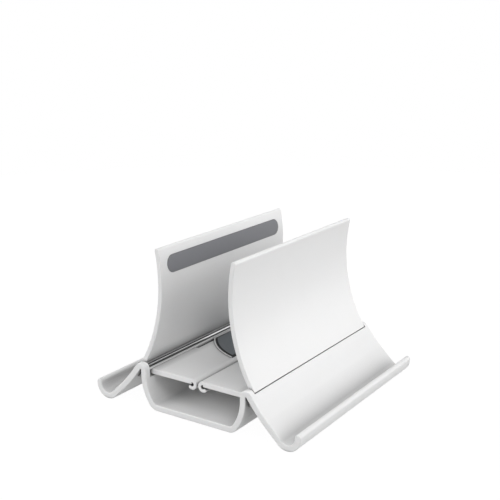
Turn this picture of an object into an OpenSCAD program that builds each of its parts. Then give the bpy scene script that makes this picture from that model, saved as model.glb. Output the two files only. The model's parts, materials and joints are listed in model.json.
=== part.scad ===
// Upright laptop stand: a moulded channel with a sloping rest and a trough on each side,
// and two clamping wings that turn inwards when a laptop's weight presses on their floor plates.
// X runs along the channel, Y across it with the front at -Y, and Z is up from the table.

/* [Stand] */
// Length of the stand along the channel
stand_l = 135; // [110:1:200]
// Wall of the moulded base
wall = 3.6; // [3.2:0.1:4.2]
// Height of the channel floor above the table
floor_gap = 1.2; // [0.8:0.1:2.5]
// Height of the trough undersides above the table
trough_gap = 0.2; // [0:0.1:1]

/* [Channel] */
// Clear width between the channel walls
channel_w = 64; // [60:0.5:72]
// Radius inside the curved foot of each channel wall
channel_curve_r = 25; // [20:0.5:27]
// Height where the channel walls become upright
channel_curve_z = 21; // [20:0.5:23]
// Lean of the channel walls where they meet the floor
channel_lean = 33; // [30:1:36]
// Radius inside the corner between wall and floor
channel_corner_r = 3; // [2:0.5:4]

/* [Ridges] */
// Height of the ridges above the table
ridge_h = 27.6; // [26.5:0.1:29]
// Radius inside the fold of a ridge
ridge_fold_r = 0.3; // [0.2:0.1:0.8]
// Length of the whole ridge left at each end
end_tab = 3.7; // [3:0.1:6]
// Height of the web that closes the fold under the wings
web_z = 17.5; // [15:0.5:19]

/* [Side rests] */
// How much steeper a side rest is at its ridge than a flat one would be
steeper = 5.7; // [3:0.1:8]
// How much flatter a side rest is at its trough than a flat one would be
flatter = 3.7; // [2:0.1:5]
// Radius of the hollow curve between the two slopes
slope_curve_r = 100; // [60:5:110]
// Distance of the trough's centre from the middle of the stand
trough_y = 61.3; // [58:0.1:66]
// Radius inside a trough
trough_r = 4.6; // [4:0.1:6]
// Outward lean of the trough lips
lip_lean = 6; // [0:1:12]
// Height of the trough lips above the table
lip_h = 11; // [10.5:0.1:15]

/* [Wings] */
// Height of the wings above the table
wing_h = 95.2; // [85:0.5:110]
// Radius of the outer face of a wing
wing_r = 91.6; // [85:0.5:110]
// Lean of a wing's outer face at the seam
wing_lean = 32.4; // [31:0.1:34]
// Thickness of a wing
wing_t = 2.8; // [2.4:0.1:3.2]
// Distance of the seam below the ridge tops
seam_drop = 1.7; // [1.4:0.1:2.2]
// Gap between wing and base along the seam
seam_gap = 0.35; // [0.2:0.05:0.5]
// Gap between a wing's ends and the end tabs
wing_end_gap = 0.4; // [0.2:0.05:0.6]
// How far a wing turns inwards
wing_travel = 19; // [10:1:19]

/* [Floor plates] */
// Height of the floor plates' upper face above the table
plate_z = 23.6; // [23.2:0.1:24]
// Thickness of the floor plates
plate_t = 3.2; // [2.4:0.1:3.4]
// Distance of the plates' ends from the wings' ends
plate_inset = 1.4; // [0.5:0.1:5]
// Outer radius of the rolled edge of a floor plate
curl_r = 3.2; // [2.8:0.1:3.6]
// Thickness of the rolled edge
curl_t = 2.1; // [1.8:0.1:2.3]
// End of the rolled edge, as an angle round the roll
curl_end = 305; // [270:5:320]
// Gap between the two rolled edges
curl_gap = 1; // [0.6:0.1:3]

/* [Hinges] */
// Diameter of the hinge rods
rod_d = 2; // [1.6:0.1:2.2]
// Radial clearance of a rod in its wing
rod_clearance = 0.08; // [0.04:0.01:0.1]
// Radial clearance of a rod in the end tabs
rod_seat = 0.02; // [0:0.01:0.05]
// Place of a rod round the fold of its ridge
rod_angle = 143; // [138:1:150]
// Wall left between a rod and the near end face
rod_cover = 1.2; // [0.8:0.1:2]
// Depth of a rod's head below the far end face
rod_sink = 0.4; // [0:0.1:1]
// Gap between a wing and the base at each end of its travel
stop_gap = 0.4; // [0.3:0.05:0.6]
// Wall of the clip that grips the rod
clip_wall = 1.6; // [1.2:0.1:1.8]
// Start of the clip's mouth, as an angle round the rod
mouth_from = 45; // [40:1:60]
// End of the clip's mouth, as an angle round the rod
mouth_to = 205; // [200:1:215]

/* [Grip strips] */
// Length of the grip strip on a wing
strip_l = 114.6; // [90:1:120]
// Width of the grip strip
strip_w = 9.8; // [7:0.2:13]
// Distance of the strip's middle below the wing's top
strip_drop = 10.2; // [8:0.2:16]
// Depth of the strip's pocket
strip_pocket = 0.8; // [0.5:0.1:1.2]
// How far the strip stands out of the wing
strip_proud = 0.2; // [0:0.1:0.5]
// Gap between a strip's edge and its pocket
strip_gap = 0.15; // [0:0.05:0.3]

/* [Rest pads] */
// Distance of the pads' middle from the middle of the stand, along the channel
pad_middle_x = 6; // [0:1:10]
// Half length of the pair of rest pads along the channel
pad_reach_x = 29.2; // [24:0.2:34]
// Where the bowed sides of the pads would meet, from the middle of the stand
pad_reach_y = 34; // [33:0.2:38]
// Radius of the bowed sides of the pads
pad_side_r = 48.5; // [40:0.5:80]
// Depth of the pad's pocket in its floor plate
pad_pocket = 1; // [0.8:0.1:1.4]
// Height of the raised rim round a pad
rim_h = 0.6; // [0.3:0.1:1]
// Width of the raised rim
rim_w = 0.9; // [0.6:0.1:2]
// Gap between a pad and its rim
pad_gap = 0.5; // [0.1:0.05:0.6]
// How far a pad stands above its rim
pad_proud = 0.1; // [0:0.1:0.4]
// Half length of the shallow step beside a hinge
step_half_l = 27; // [20:0.5:30]
// Width of the shallow step
step_w = 2; // [1.4:0.2:3]
// Depth of the shallow step
step_depth = 1.1; // [0.3:0.1:1.4]

/* [Feet] */
// Length of a foot pad
foot_l = 26; // [16:1:40]
// Width of a foot pad
foot_w = 9; // [6:0.5:12]
// Depth of a foot pad's pocket in the channel floor
foot_pocket = 1; // [0.6:0.1:1.6]
// Gap between a foot pad's edge and its pocket
foot_gap = 0.05; // [0:0.05:0.2]
// Distance of a foot pad's middle from the end of the stand
foot_end = 22; // [18:1:40]
// Distance of a foot pad's middle from the middle of the stand
foot_y = 17; // [12:0.5:19]

/* [Hidden] */
$fn = 72;
// Facets of the largest circles
FINE = 288;

WHITE = "#f4f5f5";
GREY = "#7b7c80";
STEEL = "#c9ccd0";
DARK = "#4a4d50";

// Cuts run this far past the face that they open
past = 1;
// Angle at which an arc and a straight face of one wall cross, and overlap of two arcs
crossing = 1.5;
// Cuts that clear a whole region reach this far from the hinge
reach = 30;

// Plane geometry in the end view: x stands for Y and y for Z
function dir(a) = [cos(a), sin(a)];
function cross2(u, v) = u.x * v.y - u.y * v.x;
function meet(p, a, q, b) = p + dir(a) * cross2(q - p, dir(b)) / cross2(dir(a), dir(b));
function heading(p, q) = atan2(q.y - p.y, q.x - p.x);
function turn(a, b) = (b - a + 540) % 360 - 180;

// Middle line of the base wall, for the rear half
half_wall = wall / 2;
floor_mid = floor_gap + half_wall;
wall_x = channel_w / 2 + half_wall;
curve_r = channel_curve_r + half_wall;
corner_r = channel_corner_r + half_wall;
ridge_r = ridge_fold_r + half_wall;
trough_mid_r = trough_r + half_wall;
curve_c = [wall_x - curve_r, channel_curve_z];
ridge_c = [wall_x + ridge_r, ridge_h - half_wall - ridge_r];
trough_c = [trough_y, trough_gap + wall + trough_r];
flat_slope = asin((ridge_r + trough_mid_r) / norm(trough_c - ridge_c)) - heading(ridge_c, trough_c);
slope_top = flat_slope + steeper;
slope_low = flat_slope - flatter;
foot_line = curve_c + curve_r * dir(-channel_lean);
slope_line = ridge_c + ridge_r * dir(90 - slope_top);
low_line = trough_c + trough_mid_r * dir(-90 - slope_low);
lip_line = trough_c + trough_mid_r * dir(-lip_lean);
lip_end = meet(lip_line, 90 - lip_lean, [0, lip_h - half_wall], 0);
corners = [
    [[-past, floor_mid], 0],
    [meet([0, floor_mid], 0, foot_line, 90 - channel_lean), corner_r],
    [meet([wall_x, 0], 90, foot_line, 90 - channel_lean), curve_r],
    [meet([wall_x, 0], 90, slope_line, -slope_top), ridge_r],
    [meet(slope_line, -slope_top, low_line, -slope_low), slope_curve_r],
    [meet(low_line, -slope_low, lip_line, 90 - lip_lean), trough_mid_r],
    [lip_end, 0]];

// Hinge and seam, seen from the near end
rod_r = rod_d / 2;
clip_r = rod_r + rod_clearance + clip_wall;
hinge = ridge_c + ridge_r * dir(rod_angle);
slope_face = slope_line + half_wall * dir(90 - slope_top);
seam = meet(slope_face, -slope_top, [0, ridge_h - seam_drop], 0);
seam_angle = heading(hinge, seam);
wing_c = seam + wing_r * dir(wing_lean);
wing_mid_r = wing_r + wing_t / 2;
wing_tip_angle = 180 - asin((wing_h - wing_t / 2 - wing_c.y) / wing_mid_r);
wing_half_l = stand_l / 2 - end_tab - wing_end_gap;
plate_half_l = wing_half_l - plate_inset;
plate_mid = plate_z - plate_t / 2;
plate_root_y = hinge.x - clip_r / 3;
curl_c = [curl_gap / 2 + curl_r, plate_z - curl_r];
curl_half = (90 + curl_end) / 2;

// Grip strips and rest pads
strip_z = wing_h - strip_drop;
strip_half = strip_l / 2 - strip_w / 2;
pad_root_y = hinge.x - clip_r;
pad_chord = norm([pad_reach_x, pad_reach_y]);
pad_back = sqrt(pad_side_r * pad_side_r - pad_chord * pad_chord / 4);
pad_side_c = [pad_back * pad_reach_y / pad_chord - pad_reach_x / 2,
              pad_back * pad_reach_x / pad_chord - pad_reach_y / 2];
pad_top = plate_z + rim_h + pad_proud;

// A shape drawn in the end view becomes a solid centred along X
module along_x(l) {
    rotate([90, 0, 90]) linear_extrude(height = l, center = true) children();
}

module ring_sector(c, r_in, r_out, from, to) {
    far = r_out / cos((to - from) / 2) + past;
    translate(c) intersection() {
        difference() {
            circle(r_out);
            circle(r_in);
        }
        polygon([[0, 0], far * dir(from), far * dir((from + to) / 2), far * dir(to)]);
    }
}

// A straight stretch of wall between two points on its middle line
module straight(p, q, t) {
    side = t / 2 * dir(heading(p, q) + 90);
    polygon([p + side, q + side, q - side, p - side]);
}

// Each arc of a bent wall is drawn with its centre this little nearer to its two tangent faces, so
// that they cross it at a small angle
function nearer(r, t) = (r + t / 2) * (1 - cos(crossing));

// Length that a corner's arc takes from each of its two straight stretches
function taken(c, i, t) = c[i][1] == 0 ? 0 : (c[i][1] - nearer(c[i][1], t))
    * tan(abs(turn(heading(c[i - 1][0], c[i][0]), heading(c[i][0], c[i + 1][0]))) / 2);

// How far a straight stretch runs on into the arc at its end, to where it is inside the arc
function run_on(r, t) = r == 0 ? 0
    : crossing * PI / 180 * (sqrt((r - t / 2) * (r + t / 2)) + r + t / 2) / 2;

// A wall of even thickness that follows corners given as [point, radius of its middle line]
module bent_wall(c, t) {
    for (i = [0:len(c) - 2]) {
        d = dir(heading(c[i][0], c[i + 1][0]));
        straight(c[i][0] + (taken(c, i, t) - run_on(c[i][1], t)) * d,
                 c[i + 1][0] - (taken(c, i + 1, t) - run_on(c[i + 1][1], t)) * d, t);
    }
    for (i = [1:len(c) - 2]) {
        r = c[i][1];
        a = heading(c[i - 1][0], c[i][0]);
        s = turn(a, heading(c[i][0], c[i + 1][0]));
        way = sign(s);
        centre = c[i][0] - taken(c, i, t) * dir(a) + (r - nearer(r, t)) * dir(a + way * 90);
        from = a - way * 90;
        past_face = crossing * (1 + sqrt((r + t / 2) / (r - t / 2))) / 2;
        ring_sector(centre, r - t / 2, r + t / 2,
                    min(from, from + s) - past_face, max(from, from + s) + past_face);
    }
}

// Half of the base in the end view, with the rounded lip of its trough
module half_section() {
    bent_wall(corners, wall);
    translate(lip_end) circle(half_wall / cos(crossing));
}

// The web that ties the two flanks of a ridge together under the wing
module ridge_web() {
    polygon([[wall_x, web_z], meet(slope_line, -slope_top, [0, web_z], 0), corners[3][0]]);
}

// All that a wing sweeps through, cut from the ridge between the end tabs
module wing_room() {
    stop_angle = 180 + wing_travel;
    under = hinge + (hinge.y - plate_z + plate_t + stop_gap) * dir(stop_angle + 90);
    edge = hinge + seam_gap * dir(seam_angle - 90);
    translate(hinge) circle(clip_r + stop_gap);
    polygon([edge, edge + reach * dir(seam_angle), hinge + [reach, reach], hinge + [-reach, reach],
             under + reach * dir(stop_angle), under]);
}

module rod_hole() {
    start = rod_cover - stand_l / 2;
    translate([start, hinge.x, hinge.y]) rotate([0, 90, 0]) cylinder(r = rod_r + rod_seat, h = stand_l);
}

module both_sides() {
    children();
    mirror([0, 1, 0]) children();
}

module foot_place(x_side, y_side) {
    translate([x_side * (stand_l / 2 - foot_end), y_side * foot_y, 0]) children();
}

module foot_outline(grow = 0) {
    for (s = [-1, 1]) translate([s * (foot_l - foot_w) / 2, 0]) circle(foot_w / 2 + grow);
    square([foot_l - foot_w, foot_w + 2 * grow], center = true);
}

module foot_pockets() {
    for (x = [-1, 1], y = [-1, 1])
        foot_place(x, y) translate([0, 0, floor_gap - past])
            linear_extrude(foot_pocket + past) foot_outline(foot_gap);
}

module base() color(WHITE) difference() {
    union() {
        both_sides() along_x(stand_l) half_section();
        both_sides() along_x(stand_l - 2 * end_tab) ridge_web();
    }
    both_sides() along_x(stand_l - 2 * end_tab) wing_room();
    both_sides() rod_hole();
    foot_pockets();
}

// The wing itself in the end view, ending on a line that points at the hinge
module wing_section() {
    difference() {
        union() {
            ring_sector(wing_c, wing_r, wing_r + wing_t, wing_tip_angle, 180 + wing_lean + crossing,
                        $fn = FINE);
            translate(wing_c + wing_mid_r * dir(wing_tip_angle)) circle(wing_t / 2 / cos(crossing));
        }
        polygon([hinge, hinge + reach * dir(seam_angle), hinge + [0, -reach]]);
    }
}

// The clip that turns on the hinge rod, with its mouth towards the laptop
module clip_section() {
    translate(hinge) intersection() {
        circle(clip_r);
        polygon([[0, 0], reach * dir(mouth_to), [0, -reach], [reach, -reach], reach * dir(mouth_from)]);
    }
}

// The floor plate with its rolled edge
module plate_section() {
    straight([plate_root_y, plate_mid], [curl_c.x, plate_mid], plate_t);
    ring_sector(curl_c, curl_r - curl_t, curl_r, 90, curl_half);
    ring_sector(curl_c, curl_r - curl_t, curl_r, curl_half - crossing, curl_end);
    translate(curl_c + (curl_r - curl_t / 2) * dir(curl_end)) circle(curl_t / 2 / cos(crossing));
}

// Outline of the pair of rest pads from above: four equal discs laid over each other
module pad_outline(grow = 0) {
    intersection_for(x = [-1, 1], y = [-1, 1])
        translate([pad_middle_x + x * pad_side_c.x, y * pad_side_c.y]) circle(pad_side_r + grow);
}

// The rear half of that outline between a place by the rolled edge and one by the hinge
module half_pad_outline(grow, from_y, to_y) {
    intersection() {
        pad_outline(grow);
        translate([-stand_l / 2, from_y]) square([stand_l, to_y - from_y]);
    }
}

module raised_rim() {
    translate([0, 0, plate_mid]) linear_extrude(plate_z + rim_h - plate_mid)
        half_pad_outline(pad_gap + rim_w, curl_c.x, pad_root_y);
}

module pad_pocket_cut() {
    translate([0, 0, plate_z - pad_pocket]) linear_extrude(pad_pocket + rim_h + past)
        half_pad_outline(pad_gap, curl_c.x - pad_gap, pad_root_y - rim_w);
}

// The step falls slowly from the hinge and ends at an upright wall
module shallow_step() {
    low = plate_z - step_depth;
    translate([pad_middle_x, 0, 0]) along_x(2 * step_half_l)
        polygon([[pad_root_y - step_w, low], [pad_root_y - step_w / 2, low], [pad_root_y, plate_z],
                 [pad_root_y, plate_z + past], [pad_root_y - step_w, plate_z + past]]);
}

module rest_pad() {
    translate([0, 0, plate_z - pad_pocket]) linear_extrude(pad_top - plate_z + pad_pocket)
        half_pad_outline(0, curl_c.x, pad_root_y - rim_w - pad_gap);
}

// A strip with round ends, cut from a shell that follows the wing's inner face
module strip_shape(grow, outward) {
    intersection() {
        along_x(strip_l + 2 * past)
            ring_sector(wing_c, wing_r + wing_t - strip_pocket, wing_r + wing_t + outward,
                        wing_tip_angle, 180 + wing_lean, $fn = FINE);
        translate([0, wing_c.x - wing_r / 2, 0]) rotate([90, 0, 0]) linear_extrude(wing_r) {
            for (s = [-1, 1]) translate([s * strip_half, strip_z]) circle(strip_w / 2 + grow);
            translate([0, strip_z]) square([2 * strip_half, strip_w + 2 * grow], center = true);
        }
    }
}

module rod_groove() {
    translate([-stand_l / 2, hinge.x, hinge.y]) rotate([0, 90, 0])
        cylinder(r = rod_r + rod_clearance, h = stand_l);
}

module wing() {
    difference() {
        union() {
            difference() {
                union() {
                    along_x(2 * wing_half_l) wing_section();
                    along_x(2 * wing_half_l) clip_section();
                    along_x(2 * plate_half_l) plate_section();
                }
                shallow_step();
            }
            raised_rim();
        }
        rod_groove();
        pad_pocket_cut();
        strip_shape(strip_gap, past);
    }
}

module hinge_rod() {
    translate([rod_cover - stand_l / 2, hinge.x, hinge.y]) rotate([0, 90, 0])
        cylinder(r = rod_r, h = stand_l - rod_cover - rod_sink);
}

module foot_pad() {
    linear_extrude(floor_gap + foot_pocket) foot_outline();
}

module to_front() {
    mirror([0, 1, 0]) children();
}

module rear_wing() color(WHITE) wing();

module front_wing() color(WHITE) to_front() wing();

module rear_hinge_rod() color(STEEL) hinge_rod();

module front_hinge_rod() color(STEEL) to_front() hinge_rod();

module rear_wing_strip() color(GREY) strip_shape(0, strip_proud);

module front_wing_strip() color(GREY) to_front() strip_shape(0, strip_proud);

module rear_rest_pad() color(DARK) rest_pad();

module front_rest_pad() color(DARK) to_front() rest_pad();

module rear_foot_near() color(DARK) foot_place(-1, 1) foot_pad();

module rear_foot_far() color(DARK) foot_place(1, 1) foot_pad();

module front_foot_near() color(DARK) foot_place(-1, -1) foot_pad();

module front_foot_far() color(DARK) foot_place(1, -1) foot_pad();

base();
rear_wing();
front_wing();
rear_hinge_rod();
front_hinge_rod();
rear_wing_strip();
front_wing_strip();
rear_rest_pad();
front_rest_pad();
rear_foot_near();
rear_foot_far();
front_foot_near();
front_foot_far();
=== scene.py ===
import json
import math

import bmesh
import bpy
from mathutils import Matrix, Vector


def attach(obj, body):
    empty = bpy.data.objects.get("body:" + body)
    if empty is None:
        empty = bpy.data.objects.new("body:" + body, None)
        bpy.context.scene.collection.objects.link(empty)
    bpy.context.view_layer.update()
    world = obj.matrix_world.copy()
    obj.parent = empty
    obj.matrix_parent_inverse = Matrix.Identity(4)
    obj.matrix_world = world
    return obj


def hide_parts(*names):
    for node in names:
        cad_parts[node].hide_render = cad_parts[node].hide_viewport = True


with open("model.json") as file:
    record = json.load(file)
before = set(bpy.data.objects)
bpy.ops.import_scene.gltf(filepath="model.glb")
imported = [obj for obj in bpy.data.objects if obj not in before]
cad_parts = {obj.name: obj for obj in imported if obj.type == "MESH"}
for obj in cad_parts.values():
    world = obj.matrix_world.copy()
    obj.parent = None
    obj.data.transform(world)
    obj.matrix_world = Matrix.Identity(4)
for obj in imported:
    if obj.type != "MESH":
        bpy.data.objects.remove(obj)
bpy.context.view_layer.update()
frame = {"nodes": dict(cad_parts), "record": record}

MM = 0.001

# Camera, found from the straight edges of the stand in the photograph
CAMERA_AZIMUTH = -56.37
CAMERA_PITCH = 14.65
CAMERA_PLACE = (-0.44296, -0.28844, 0.22252)
CAMERA_LENS = 66.97
CAMERA_SENSOR = 36
CAMERA_CLIP = (0.01, 50)

# Half lengths at which the moulded pieces end
STAND_END = 67.5 * MM
WING_END = 63.4 * MM
PLATE_END = 62 * MM
# Top of the raised rims round the rest pads
RIM_TOP = 24.2 * MM
# Foot of the slope in the shallow step beside a hinge, and how far it moves to stand upright
STEP_FOOT_Y, STEP_FLOOR = 30.54 * MM, 22.5 * MM
STEP_UPRIGHT = 0.95 * MM
# The two edges of the seam between a wing and its slope, as distance from the middle and height
WING_SEAM = (39.12 * MM, 25.9 * MM)
SLOPE_SEAM = (39.36 * MM, 25.59 * MM)
# Axis of a hinge rod, as its distance from the middle and its height
HINGE_Y, HINGE_Z = 34.2229 * MM, 24.9638 * MM
# Radius that holds a rod's bore and nothing else
BORE = 1.1 * MM

# Low border round the middle of a rest pad: its width, its depth and the width of its flank
PAD_BORDER, PAD_STEP, PAD_FLANK = 0.9 * MM, 0.5 * MM, 0.08 * MM

# Roundings of edges that are sharp in the CAD
BASE_END_ROUND, BASE_END_FACETS = 0.6 * MM, 4
WING_END_ROUND, WING_END_FACETS = 0.45 * MM, 3
RIM_ROUND = 0.2 * MM
SLOPE_SEAM_ROUND, WING_SEAM_ROUND = 0.2 * MM, 0.25 * MM
STRIP_ROUND = 0.15 * MM
EDGE_FACETS = 2

# Faces that turn by less than the first are joined, and by less than the second shaded as one
FLAT_TURN, SMOOTH_TURN = math.radians(0.3), math.radians(32)
# Only edges that turn by more than this are rounded
SHARP_TURN = math.radians(40)

# Corners of a CAD mesh that are nearer than this are one corner
SAME_CORNER = 0.002 * MM
# A cut goes through the corners within the first distance, and those within the second lie on it
CUT_SNAP, ON_CUT = 0.001 * MM, 0.003 * MM
# A corner that is nearer than this to a named edge or height lies on it
CLOSE = 0.02 * MM

# Soft lights of the studio: name, azimuth and elevation in degrees, power in watts,
# and the side of the light in metres where it isn't 1
LAMPS = [
    ("near front high", -45, 55, 7.1),
    ("near front low", -45, 20, 3.4),
    ("front low", 0, 20, 7.3),
    ("far front high", 45, 55, 5.1),
    ("far front grazing", 45, 8, 6.7),
    ("near end low", -90, 20, 3.6),
    ("near rear low", -135, 20, 11),
    ("rear high", 180, 55, 5.2),
    ("glint on the rods", 70, 37, 1.2, 0.4),
]
LAMP_DISTANCE = 1.6

# Radius of the round floor in metres, and its number of corners
FLOOR_REACH, FLOOR_CORNERS = 0.8, 72
# The floor shows white, at a little over full strength, with a small share of its shaded paper
FLOOR_WHITE, FLOOR_WHITE_SHARE = 1.09, 0.9
FLOOR_PAPER = (0.45, 0.45, 0.45, 1)

# Painted shade in hollows: how far the hollows of the base and of the other pieces darken the
# colour of their sides, and how strongly
BASE_HOLLOW_SHADE_REACH, HOLLOW_SHADE_REACH = 18 * MM, 10 * MM
HOLLOW_SHADE_DEPTH = 0.8
# Painted shade of gaps: how far a narrow gap darkens the colour of its sides
GAP_SHADE_REACH = 2 * MM

WHITE = (0.83, 0.83, 0.83, 1)
STRIP_GREY = (0.2, 0.203, 0.218, 1)
PAD_GREY = (0.13, 0.143, 0.155, 1)
# Near black of the pad border: painted shade of the groove inside the rim, not the silicone's own
# colour
BORDER_SHADE_GREY = (0.02, 0.021, 0.023, 1)
FOOT_GREY = (0.03, 0.03, 0.033, 1)
ROD_STEEL = (0.28, 0.28, 0.285, 1)


# Materials

def new_group(name, inputs, outputs):
    """A node group with inputs given as name, kind and value, and outputs as name and kind."""
    group = bpy.data.node_groups.new(name, "ShaderNodeTree")
    for label, kind, value in inputs:
        socket = group.interface.new_socket(label, in_out="INPUT", socket_type=kind)
        socket.default_value = value
    for label, kind in outputs:
        group.interface.new_socket(label, in_out="OUTPUT", socket_type=kind)
    return group, group.nodes.new("NodeGroupInput"), group.nodes.new("NodeGroupOutput")


def new_material(name):
    material = bpy.data.materials.new(name)
    material.use_nodes = True
    return material, material.node_tree.nodes, material.node_tree.links.new


def maths(nodes, operation, kind="ShaderNodeMath"):
    node = nodes.new(kind)
    node.operation = operation
    return node


def set_inputs(node, values):
    for label, value in values.items():
        node.inputs[label].default_value = value


def make_surface_grain():
    """Fine grain of a moulded surface, with the slow unevenness of its colour and gloss."""
    group, given, result = new_group(
        "surface grain",
        [
            ("Colour", "NodeSocketColor", (0.8, 0.8, 0.8, 1)),
            ("Grain Size", "NodeSocketFloat", 0.3),
            ("Grain Share", "NodeSocketFloat", 0.5),
            ("Gloss Spread", "NodeSocketFloat", 0.05),
            ("Roughness", "NodeSocketFloat", 0.4),
            ("Colour Spread", "NodeSocketFloat", 0.02),
        ],
        [
            ("Colour", "NodeSocketColor"),
            ("Roughness", "NodeSocketFloat"),
            ("Height", "NodeSocketFloat"),
        ],
    )
    nodes, link = group.nodes, group.links.new
    place = nodes.new("ShaderNodeTexCoord").outputs["Object"]

    # the grain size is in millimetres, and the noise wants cells per metre
    cells = maths(nodes, "DIVIDE")
    cells.inputs[0].default_value = 1000
    link(given.outputs["Grain Size"], cells.inputs[1])
    grain = nodes.new("ShaderNodeTexNoise")
    grain.inputs["Detail"].default_value = 2
    link(place, grain.inputs["Vector"])
    link(cells.outputs[0], grain.inputs["Scale"])

    # patches of about 26 mm
    slow = nodes.new("ShaderNodeTexNoise")
    set_inputs(slow, {"Scale": 38, "Detail": 3})
    link(place, slow.inputs["Vector"])

    height = nodes.new("ShaderNodeMix")
    link(given.outputs["Grain Share"], height.inputs["Factor"])
    link(slow.outputs["Fac"], height.inputs["A"])
    link(grain.outputs["Fac"], height.inputs["B"])
    link(height.outputs["Result"], result.inputs["Height"])

    centred = maths(nodes, "SUBTRACT")
    link(slow.outputs["Fac"], centred.inputs[0])
    centred.inputs[1].default_value = 0.5
    rough = maths(nodes, "MULTIPLY_ADD")
    link(centred.outputs[0], rough.inputs[0])
    link(given.outputs["Gloss Spread"], rough.inputs[1])
    link(given.outputs["Roughness"], rough.inputs[2])
    link(rough.outputs[0], result.inputs["Roughness"])

    lift = maths(nodes, "MULTIPLY_ADD")
    link(centred.outputs[0], lift.inputs[0])
    link(given.outputs["Colour Spread"], lift.inputs[1])
    lift.inputs[2].default_value = 1
    tint = maths(nodes, "SCALE", "ShaderNodeVectorMath")
    link(given.outputs["Colour"], tint.inputs[0])
    link(lift.outputs[0], tint.inputs["Scale"])
    link(tint.outputs[0], result.inputs["Colour"])
    return group


def make_painted_shade():
    """Painted shade: darkening of the colour in a piece's own hollows, and in the narrow gaps
    between pieces.
    """
    group, given, result = new_group("painted shade of hollows and gaps", [("Reach", "NodeSocketFloat", HOLLOW_SHADE_REACH)],
                                     [("Shade", "NodeSocketFloat")])
    nodes, link = group.nodes, group.links.new
    hollow_shade = nodes.new("ShaderNodeAmbientOcclusion")
    hollow_shade.samples = 12
    hollow_shade.only_local = True
    link(given.outputs["Reach"], hollow_shade.inputs["Distance"])
    deep = maths(nodes, "POWER")
    deep.inputs[1].default_value = HOLLOW_SHADE_DEPTH
    link(hollow_shade.outputs["AO"], deep.inputs[0])

    gap = nodes.new("ShaderNodeAmbientOcclusion")
    gap.samples = 8
    gap.inputs["Distance"].default_value = GAP_SHADE_REACH
    both = maths(nodes, "MULTIPLY")
    link(deep.outputs[0], both.inputs[0])
    link(gap.outputs["AO"], both.inputs[1])
    link(both.outputs[0], result.inputs["Shade"])
    return group


GRAIN = make_surface_grain()
PAINTED_SHADE = make_painted_shade()


def moulded(name, colour, roughness, grain_size, grain_share, relief,
            gloss_spread=0.06, colour_spread=0.03, hollow_shade=HOLLOW_SHADE_REACH):
    """A material with grain, and with painted shade that darkens its colour in hollows and gaps.
    Grain size and relief are in millimetres.
    """
    material, nodes, link = new_material(name)
    shader = nodes["Principled BSDF"]
    grain = nodes.new("ShaderNodeGroup")
    grain.node_tree = GRAIN
    set_inputs(grain, {
        "Colour": colour,
        "Grain Size": grain_size,
        "Grain Share": grain_share,
        "Gloss Spread": gloss_spread,
        "Roughness": roughness,
        "Colour Spread": colour_spread,
    })
    link(grain.outputs["Roughness"], shader.inputs["Roughness"])

    bump = nodes.new("ShaderNodeBump")
    set_inputs(bump, {"Strength": 1, "Distance": relief * MM})
    link(grain.outputs["Height"], bump.inputs["Height"])
    link(bump.outputs["Normal"], shader.inputs["Normal"])

    # Painted shade: the colour is darkened in hollows and narrow gaps, where shade falls
    painted_shade_node = nodes.new("ShaderNodeGroup")
    painted_shade_node.node_tree = PAINTED_SHADE
    painted_shade_node.inputs["Reach"].default_value = hollow_shade
    shaded_colour = maths(nodes, "SCALE", "ShaderNodeVectorMath")
    link(grain.outputs["Colour"], shaded_colour.inputs[0])
    link(painted_shade_node.outputs["Shade"], shaded_colour.inputs["Scale"])
    link(shaded_colour.outputs[0], shader.inputs["Base Color"])
    return material


def white_plastic(name, hollow_shade):
    material = moulded(name, WHITE, roughness=0.36, grain_size=0.35, grain_share=0.35, relief=0.02,
                       hollow_shade=hollow_shade)
    set_inputs(material.node_tree.nodes["Principled BSDF"], {
        "IOR": 1.49,
        "Subsurface Weight": 0.08,
        "Subsurface Radius": (1, 0.9, 0.8),
        "Subsurface Scale": 1 * MM,
    })
    return material


def silicone(name, colour, roughness, grain_size, relief):
    material = moulded(name, colour, roughness, grain_size, grain_share=0.8, relief=relief,
                       gloss_spread=0.1, colour_spread=0.1)
    set_inputs(material.node_tree.nodes["Principled BSDF"], {
        "IOR": 1.42,
        "Sheen Weight": 0.08,
        "Sheen Roughness": 0.5,
    })
    return material


def rod_metal():
    material = moulded("drawn steel", ROD_STEEL, roughness=0.12, grain_size=0.6, grain_share=0.3,
                       relief=0.001, colour_spread=0.08)
    material.node_tree.nodes["Principled BSDF"].inputs["Metallic"].default_value = 1
    return material


# The two white plastics differ only in how far their painted shade of hollows reaches
BASE_PLASTIC = white_plastic("satin white plastic of the base", BASE_HOLLOW_SHADE_REACH)
WING_PLASTIC = white_plastic("satin white plastic of the wings", HOLLOW_SHADE_REACH)
STRIP = silicone("grey grip silicone", STRIP_GREY, roughness=0.6, grain_size=0.4, relief=0.03)
PAD = silicone("dark pad silicone", PAD_GREY, roughness=0.5, grain_size=0.5, relief=0.03)
PAD_EDGE_SHADE = silicone("pad border painted groove shade", BORDER_SHADE_GREY, roughness=0.65, grain_size=0.4, relief=0.03)
FOOT = silicone("foot rubber", FOOT_GREY, roughness=0.75, grain_size=0.6, relief=0.04)
STEEL = rod_metal()


# Pieces

def add_object(name, data):
    thing = bpy.data.objects.new(name, data)
    bpy.context.scene.collection.objects.link(thing)
    return thing


def node_shape(node):
    """The CAD mesh of a node, with its doubled corners merged."""
    shape = bmesh.new()
    shape.from_mesh(frame["nodes"][node].data)
    bmesh.ops.remove_doubles(shape, verts=shape.verts, dist=SAME_CORNER)
    return shape


def join_flat_faces(shape):
    bmesh.ops.dissolve_limit(shape, angle_limit=FLAT_TURN, verts=shape.verts, edges=shape.edges)


def body_of_node(node):
    for body, members in frame["record"]["behaviour"]["bodies"].items():
        if node in members:
            return body


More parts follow.
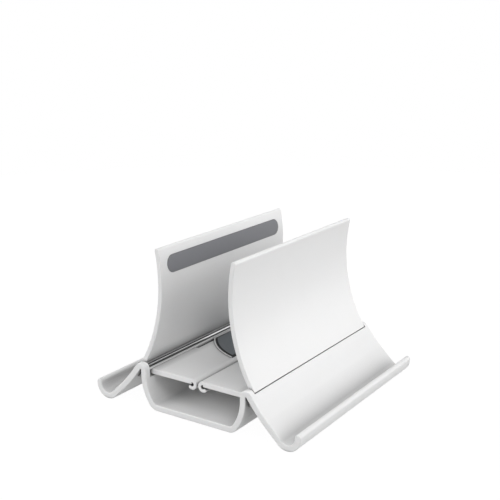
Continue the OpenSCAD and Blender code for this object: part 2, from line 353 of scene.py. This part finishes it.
def finish_shape(shape, node, material):
    """Turn the shape into the piece that is shown instead of the node."""
    for face in shape.faces:
        face.smooth = True
    for edge in shape.edges:
        edge.smooth = len(edge.link_faces) == 2 and edge.calc_face_angle(0) < SMOOTH_TURN
    mesh = bpy.data.meshes.new(node + "_rounded")
    shape.to_mesh(mesh)
    shape.free()
    mesh.materials.append(material)
    piece = add_object(node + "_rounded", mesh)
    level = piece.modifiers.new("even shading", "WEIGHTED_NORMAL")
    level.mode = "FACE_AREA"
    level.keep_sharp = True
    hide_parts(node)
    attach(piece, body_of_node(node))
    return piece


def outward(vertex):
    """The way out of an outline at a vertex, long enough to move both sides there by 1."""
    sides = []
    for face in vertex.link_faces:
        looks_sideways = abs(face.normal.x) < 0.1
        if looks_sideways and all(face.normal.dot(side) < 0.99999 for side in sides):
            sides.append(Vector((0, face.normal.y, face.normal.z)).normalized())
    middle = sum(sides, Vector()).normalized()
    # 0.5 keeps the way short at corners that turn by more than 120 degrees
    return middle / max(middle.dot(sides[0]), 0.5)


def round_ends(shape, half_length, radius, facets, stays_sharp):
    """Round the outlines of the two flat end faces, except where a vertex has to stay sharp."""
    turns = [math.radians(90) * i / facets for i in range(facets + 1)]
    for side in (-1, 1):
        end_x = side * half_length
        cuts = [end_x - side * radius * (1 - math.sin(turn)) for turn in turns]
        for cut in cuts[:-1]:
            bmesh.ops.bisect_plane(shape, geom=shape.verts[:] + shape.edges[:] + shape.faces[:],
                                   dist=CUT_SNAP, plane_co=(cut, 0, 0), plane_no=(1, 0, 0))
        flat = [f for f in shape.faces if all(abs(v.co.x - end_x) < ON_CUT for v in f.verts)]
        bmesh.ops.delete(shape, geom=flat, context="FACES")
        moves = []
        for cut, turn in zip(cuts[1:], turns[1:]):
            for v in shape.verts:
                if abs(v.co.x - cut) < ON_CUT and not stays_sharp(v.co):
                    moves.append((v, outward(v) * radius * (1 - math.cos(turn))))
        for v, move in moves:
            v.co -= move
        outline = [e for e in shape.edges if e.is_boundary]
        filled = bmesh.ops.triangle_fill(shape, use_beauty=True, edges=outline, normal=(side, 0, 0))
        for face in filled["geom"]:
            if isinstance(face, bmesh.types.BMFace) and face.normal.x * side < 0:
                face.normal_flip()


def bevel_edges(shape, radius, facets, test):
    """Round the sharp convex edges whose two ends pass the test."""
    edges = [
        e for e in shape.edges
        if len(e.link_faces) == 2 and e.is_convex
        and e.calc_face_angle(0) > SHARP_TURN
        and all(test(v.co) for v in e.verts)
    ]
    bmesh.ops.bevel(shape, geom=edges, offset=radius, offset_type="OFFSET", segments=facets,
                    profile=0.5, affect="EDGES", clamp_overlap=False, loop_slide=True)


def at_end(place):
    return any(abs(abs(place.x) - end) < CLOSE for end in (WING_END, PLATE_END))


def on_rim(place):
    return abs(place.z - RIM_TOP) < CLOSE


def along(seam):
    return lambda place: math.hypot(abs(place.y) - seam[0], place.z - seam[1]) < CLOSE


def at_step_foot(place):
    return abs(place.z - STEP_FLOOR) < CLOSE and abs(abs(place.y) - STEP_FOOT_Y) < CLOSE


def in_bore(place):
    return math.hypot(abs(place.y) - HINGE_Y, place.z - HINGE_Z) < BORE


def make_base():
    shape = node_shape("base")
    round_ends(shape, STAND_END, BASE_END_ROUND, BASE_END_FACETS, stays_sharp=in_bore)
    bevel_edges(shape, SLOPE_SEAM_ROUND, EDGE_FACETS, along(SLOPE_SEAM))
    piece = finish_shape(shape, "base", BASE_PLASTIC)


def make_wing(node):
    shape = node_shape(node)
    join_flat_faces(shape)
    for v in shape.verts:
        if at_step_foot(v.co):
            v.co.y += math.copysign(STEP_UPRIGHT, v.co.y)
    bevel_edges(shape, WING_END_ROUND, WING_END_FACETS, at_end)
    bevel_edges(shape, RIM_ROUND, EDGE_FACETS, on_rim)
    bevel_edges(shape, WING_SEAM_ROUND, EDGE_FACETS, along(WING_SEAM))
    piece = finish_shape(shape, node, WING_PLASTIC)


def make_pad(node):
    """A rest pad with a low border round its middle, which leaves a groove inside the rim. The
    border is near black: painted shade of the groove.
    """
    shape = node_shape(node)
    join_flat_faces(shape)
    high = max(v.co.z for v in shape.verts)
    top = [f for f in shape.faces if all(high - v.co.z < CLOSE for v in f.verts)]
    for width in (PAD_BORDER, PAD_FLANK):
        bmesh.ops.inset_region(shape, faces=top, thickness=width,
                               use_even_offset=True, use_boundary=True)
    middle = {v for f in top for v in f.verts}
    for v in shape.verts:
        if high - v.co.z < CLOSE and v not in middle:
            v.co.z -= PAD_STEP
    for face in shape.faces:
        # The border faces take the near-black material, painted shade of the groove
        face.material_index = 0 if face in top else 1
    piece = finish_shape(shape, node, PAD)
    piece.data.materials.append(PAD_EDGE_SHADE)


def dress(node, material, rounding=0):
    """Give a CAD piece its material and, where its edges show, soft edges."""
    piece = frame["nodes"][node]
    piece.material_slots[0].material = material
    if rounding:
        soften = piece.modifiers.new("soft edges", "BEVEL")
        soften.width = rounding
        soften.segments = EDGE_FACETS
        soften.limit_method = "ANGLE"
        soften.angle_limit = SHARP_TURN
        soften.harden_normals = True


make_base()
for side in ("rear", "front"):
    make_wing(side + "_wing")
    dress(side + "_hinge_rod", STEEL)
    dress(side + "_wing_strip", STRIP, STRIP_ROUND)
    make_pad(side + "_rest_pad")
    dress(side + "_foot_near", FOOT)
    dress(side + "_foot_far", FOOT)


# Studio

def direction(azimuth, elevation):
    """Unit vector from angles in degrees. The azimuth turns from the front (-Y) towards +X."""
    turn, rise = math.radians(azimuth), math.radians(elevation)
    level = math.cos(rise)
    return Vector((math.sin(turn) * level, -math.cos(turn) * level, math.sin(rise)))


def background_rays(nodes, link):
    """1 for rays that show the background: straight, reflected or through a clear piece."""
    rays = nodes.new("ShaderNodeLightPath")
    either = maths(nodes, "MAXIMUM")
    link(rays.outputs["Is Camera Ray"], either.inputs[0])
    link(rays.outputs["Is Glossy Ray"], either.inputs[1])
    seen = maths(nodes, "MAXIMUM")
    link(either.outputs[0], seen.inputs[0])
    link(rays.outputs["Is Transmission Ray"], seen.inputs[1])
    return seen.outputs[0]


def floor_material():
    """White paper that shows white, with a trace of the stand's shadow."""
    material, nodes, link = new_material("white floor")
    nodes.remove(nodes["Principled BSDF"])
    paper = nodes.new("ShaderNodeBsdfDiffuse")
    paper.inputs["Color"].default_value = FLOOR_PAPER
    white = nodes.new("ShaderNodeEmission")
    white.inputs["Strength"].default_value = FLOOR_WHITE
    share = maths(nodes, "MULTIPLY")
    link(background_rays(nodes, link), share.inputs[0])
    share.inputs[1].default_value = FLOOR_WHITE_SHARE
    mix = nodes.new("ShaderNodeMixShader")
    link(share.outputs[0], mix.inputs["Fac"])
    link(paper.outputs[0], mix.inputs[1])
    link(white.outputs[0], mix.inputs[2])
    link(mix.outputs[0], nodes["Material Output"].inputs["Surface"])
    return material


def make_floor():
    turns = [math.radians(360 / FLOOR_CORNERS * i) for i in range(FLOOR_CORNERS)]
    corners = [(FLOOR_REACH * math.cos(turn), FLOOR_REACH * math.sin(turn), 0) for turn in turns]
    mesh = bpy.data.meshes.new("floor")
    mesh.from_pydata(corners, [], [tuple(range(FLOOR_CORNERS))])
    mesh.materials.append(floor_material())
    add_object("floor", mesh)


def make_world():
    """A white surround that shows, and that puts no light of its own on the stand."""
    world = bpy.data.worlds.new("studio")
    world.use_nodes = True
    nodes, link = world.node_tree.nodes, world.node_tree.links.new
    surround = nodes["Background"]
    surround.inputs["Color"].default_value = (1, 1, 1, 1)
    link(background_rays(nodes, link), surround.inputs["Strength"])
    bpy.context.scene.world = world


def softbox(name, azimuth, elevation, power, size=1):
    """A square soft light that looks at the stand."""
    lamp = bpy.data.lights.new(name, "AREA")
    lamp.shape = "SQUARE"
    lamp.size = size
    lamp.energy = power
    holder = add_object(name, lamp)
    away = direction(azimuth, elevation)
    holder.location = away * LAMP_DISTANCE
    holder.rotation_euler = (-away).to_track_quat("-Z", "Y").to_euler()


def make_camera():
    camera = bpy.data.cameras.new("camera")
    camera.lens = CAMERA_LENS
    camera.sensor_width = CAMERA_SENSOR
    camera.clip_start, camera.clip_end = CAMERA_CLIP
    holder = add_object("camera", camera)
    holder.location = CAMERA_PLACE
    holder.rotation_mode = "QUATERNION"
    holder.rotation_quaternion = (-direction(CAMERA_AZIMUTH, CAMERA_PITCH)).to_track_quat("-Z", "Y")
    bpy.context.scene.camera = holder


make_floor()
make_world()
for lamp in LAMPS:
    softbox(*lamp)
make_camera()
bpy.context.scene.view_settings.view_transform = "Standard"
